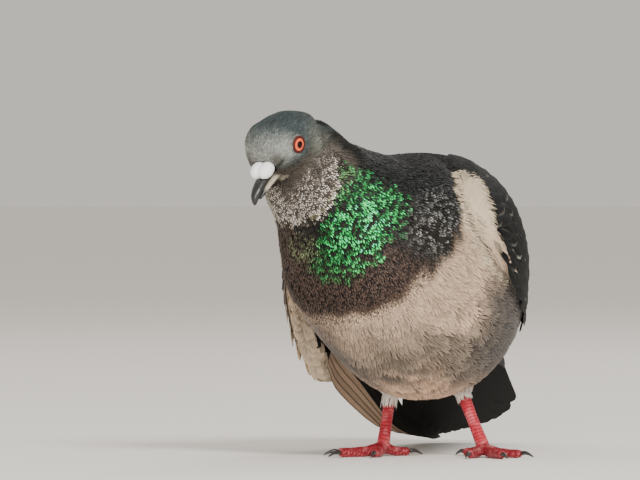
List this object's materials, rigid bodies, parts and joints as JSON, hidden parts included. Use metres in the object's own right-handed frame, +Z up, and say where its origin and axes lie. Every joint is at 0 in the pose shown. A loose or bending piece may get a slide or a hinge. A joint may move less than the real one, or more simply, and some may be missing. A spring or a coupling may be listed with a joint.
{
  "type": "pigeon",
  "caption": "Standing rock pigeon, life size, neck drawn in and head turned to its right, wings folded, on two flat-soled feet.",
  "frame": {"origin": "middle of the bottom of the bird's bounding box, at the level of the soles", "axes": "+Z up; -Y the way the body faces, so +Y runs from the breast to the tail; +X towards the bird's left wing"},
  "size_m": [0.1172, 0.2624, 0.1545],
  "materials": {
    "plumage_slate": "matte",
    "plumage_neck": "satin",
    "plumage_pale": "matte",
    "feather_dark": "matte",
    "leg_skin": "satin",
    "horn": "satin",
    "cere": "matte",
    "eye": "gloss"
  },
  "bodies": {
    "root": {"head": "plumage_slate", "back": "plumage_slate", "rump": "plumage_slate", "neck": "plumage_neck", "breast": "plumage_pale", "belly": "plumage_pale", "thigh_left": "plumage_pale", "thigh_right": "plumage_pale", "coverts_left": "feather_dark", "coverts_right": "feather_dark", "secondaries_left": "feather_dark", "secondaries_right": "feather_dark", "primaries_left": "feather_dark", "primaries_right": "feather_dark", "tail": "feather_dark", "tarsus_left": "leg_skin", "tarsus_right": "leg_skin", "foot_left": "leg_skin", "foot_right": "leg_skin", "bill_upper": "horn", "bill_lower": "horn", "claw_hind_left": "horn", "claw_inner_left": "horn", "claw_middle_left": "horn", "claw_outer_left": "horn", "claw_hind_right": "horn", "claw_inner_right": "horn", "claw_middle_right": "horn", "claw_outer_right": "horn", "cere": "cere", "eye_left": "eye", "eye_right": "eye"}
  },
  "joints": []
}
